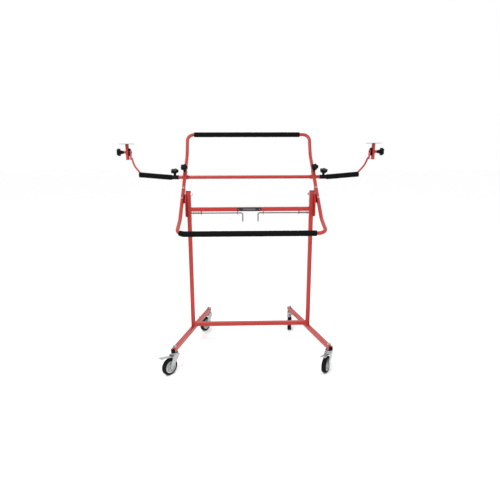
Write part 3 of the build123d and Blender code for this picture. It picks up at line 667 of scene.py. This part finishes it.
# The arms' sleeves bend up a little with the rod and flare at their outer ends, where
# the rod leaves at the top
arm_turn = {"left": math.radians(14), "right": math.radians(-14)}
rise = math.radians(5.0)
rod_radius = 6 * mm
arm_foam_radius = 17.5 * mm
straight = 12 * mm
flare_length = 45 * mm
flare_depth = 0.8 * mm
for side, sign in SIDES.items():
    low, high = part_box(f"{side}_arm_foam")
    inner_x, outer_x = (high.x, low.x) if sign < 0 else (low.x, high.x)
    up = Vector((0, math.sin(arm_turn[side]), math.cos(arm_turn[side])))
    length = abs(outer_x - inner_x)
    stations = []
    count = round(length / foam_step)
    for i in range(count + 1):
        gone = length * i / count
        climb = max(0.0, gone - straight) * math.tan(rise)
        slope = rise if gone > straight else 0.0
        flare = max(0.0, 1 - (length - gone) / flare_length)
        place = Vector((inner_x + sign * gone, bar_middle.y, bar_middle.z)) + up * climb
        direction = x_way * sign * math.cos(slope) + up * math.sin(slope)
        stations.append((place, direction, arm_foam_radius - flare_depth * (1 - flare**2)))
    sleeve(f"{side}_arm_sleeve", stations, rod_radius, f"{side}_arm", f"{side}_arm_foam")

# ---- Castor wheels ----
# A black rubber tyre with two fine grooves is moulded on a grey polypropylene hub with
# six ribs.

tyre_rubber = moulded_rubber("tyre_rubber_black", "#090909", "#1A1918", 22 * mm)


def moulded_polypropylene():
    """Grey polypropylene: a waxy satin with faint flow marks of about 10 mm."""
    material, tree, shader = new_material("moulded_grey_polypropylene")
    place = add(tree, "ShaderNodeTexCoord").outputs["Object"]
    flow = add(
        tree,
        "ShaderNodeTexNoise",
        {"Vector": place, "Scale": 1 / (10 * mm), "Detail": 4.0, "Distortion": 0.6},
    )
    tint = add(
        tree,
        "ShaderNodeMix",
        {0: flow.outputs["Fac"], 6: linear("#A9ABAC"), 7: linear("#C3C5C5")},
        data_type="RGBA",
    )
    gloss = add(tree, "ShaderNodeMapRange", {"Value": flow.outputs["Fac"], "To Min": 0.4, "To Max": 0.58})
    bump = add(tree, "ShaderNodeBump", {"Height": flow.outputs["Fac"], "Strength": 0.1, "Distance": 0.2 * mm})
    tree.links.new(tint.outputs[2], shader.inputs["Base Color"])
    tree.links.new(gloss.outputs[0], shader.inputs["Roughness"])
    tree.links.new(bump.outputs["Normal"], shader.inputs["Normal"])
    shader.inputs["IOR"].default_value = 1.49
    shader.inputs["Subsurface Weight"].default_value = 0.03
    return material


polypropylene = moulded_polypropylene()
axles = {j["child"]: Vector(j["axis"]) for j in frame["joints"] if j["name"].endswith("_wheel_spin")}
half_tyre = 13 * mm
rim_radius = 36 * mm
groove_depth = 1.2 * mm
groove_places = (-4 * mm, 4 * mm)
groove_outline = ((-1.0 * mm, 0), (-0.6 * mm, 1), (0.6 * mm, 1), (1.0 * mm, 0))
shoulder = 5 * mm
shoulder_turns = [math.radians(a) for a in (0, 20, 40, 60, 80, 90)]
for caster in CASTERS:
    finish_node(f"{caster}_hub", polypropylene)
    low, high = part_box(f"{caster}_tyre")
    wheel_radius = (high.z - low.z) / 2
    inward = [shoulder * (1 - math.cos(a)) for a in shoulder_turns]
    across = [wheel_radius - shoulder * (1 - math.sin(a)) for a in shoulder_turns]
    outline = [(-half_tyre, rim_radius)]
    outline += [(-half_tyre + step, radius) for step, radius in zip(inward, across)]
    for at in groove_places:
        outline += [(at + offset, wheel_radius - groove_depth * depth) for offset, depth in groove_outline]
    outline += [(half_tyre - step, radius) for step, radius in zip(reversed(inward), reversed(across))]
    outline.append((half_tyre, rim_radius))
    middle = (low + high) / 2
    tyre = mesh_piece(
        f"{caster}_grooved_tyre",
        turned(outline, middle, axles[f"{caster}_wheel"], segments=72),
        tyre_rubber,
        f"{caster}_wheel",
    )
    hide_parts(f"{caster}_tyre")

# ---- Brake pedal grips ----
# Three ribs are pressed across the end of each pedal, where a shoe pushes it down.

presses = {j["child"]: j for j in frame["joints"] if j["name"].endswith("_brake_press")}
pedal_lift = math.radians(12)
rib_places = (75 * mm, 81 * mm, 87 * mm)
rib_half_length = 10 * mm
rib_half_width = 1.3 * mm
rib_rise = 1.1 * mm
pedal_top = 1 * mm
for caster in CASTERS:
    press = presses[f"{caster}_brake"]
    pivot, pin_way = Vector(press["pos_m"]), Vector(press["axis"])
    reach = pin_way.cross(z_way).normalized()
    tip = sum(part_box(f"{caster}_brake_pedal"), Vector()) / 2 - pivot
    reach = reach if reach.dot(tip) > 0 else -reach
    reach = reach * math.cos(pedal_lift) + z_way * math.sin(pedal_lift)
    top_way = reach.cross(pin_way).normalized()
    top_way = top_way if top_way.z > 0 else -top_way
    turn = pin_way.to_track_quat("X", "Z").to_matrix().to_4x4()
    squeeze = Matrix.Diagonal((rib_half_length, rib_half_width, rib_rise, 1.0))
    grips = bmesh.new()
    for along in rib_places:
        at = Matrix.Translation(pivot + reach * along + top_way * pedal_top)
        bmesh.ops.create_uvsphere(
            grips, u_segments=16, v_segments=10, radius=1.0, matrix=at @ turn @ squeeze
        )
    pressed_ribs = mesh_piece(f"{caster}_pedal_ribs", grips, zinc, f"{caster}_brake")

# ---- Floor and light ----
# A plain pale floor wide enough that no edge shows, and three soft lamps in a bright
# white room.

floor_mesh = bmesh.new()
bmesh.ops.create_grid(floor_mesh, x_segments=1, y_segments=1, size=40.0)
floor_data = bpy.data.meshes.new("floor")
floor_mesh.to_mesh(floor_data)
floor_mesh.free()
floor_material, _, floor_shader = new_material("plain_pale_floor")
floor_shader.inputs["Base Color"].default_value = linear("#FEFEFE")
floor_shader.inputs["Roughness"].default_value = 0.9
floor_data.materials.append(floor_material)
floor = bpy.data.objects.new("floor", floor_data)
bpy.context.scene.collection.objects.link(floor)

world = bpy.data.worlds.new("studio")
bpy.context.scene.world = world
world.use_nodes = True
world.node_tree.nodes["Background"].inputs["Color"].default_value = linear("#FFFFFF")
world.node_tree.nodes["Background"].inputs["Strength"].default_value = 1.0
for name, place, size, power in (
    ("key_lamp", (-1.2, -2.4, 3.4), 0.9, 75.0),
    ("fill_lamp", (2.8, -2.4, 2.6), 1.6, 18.0),
    ("back_lamp", (0.0, 3.0, 3.4), 3.0, 20.0),
):
    lamp = bpy.data.objects.new(name, bpy.data.lights.new(name, "AREA"))
    lamp.data.size = size
    lamp.data.energy = power
    lamp.location = place
    lamp.rotation_euler = (Vector((0, 0, 0.8)) - Vector(place)).to_track_quat("-Z", "Y").to_euler()
    bpy.context.scene.collection.objects.link(lamp)

bpy.context.scene.view_settings.view_transform = "Standard"
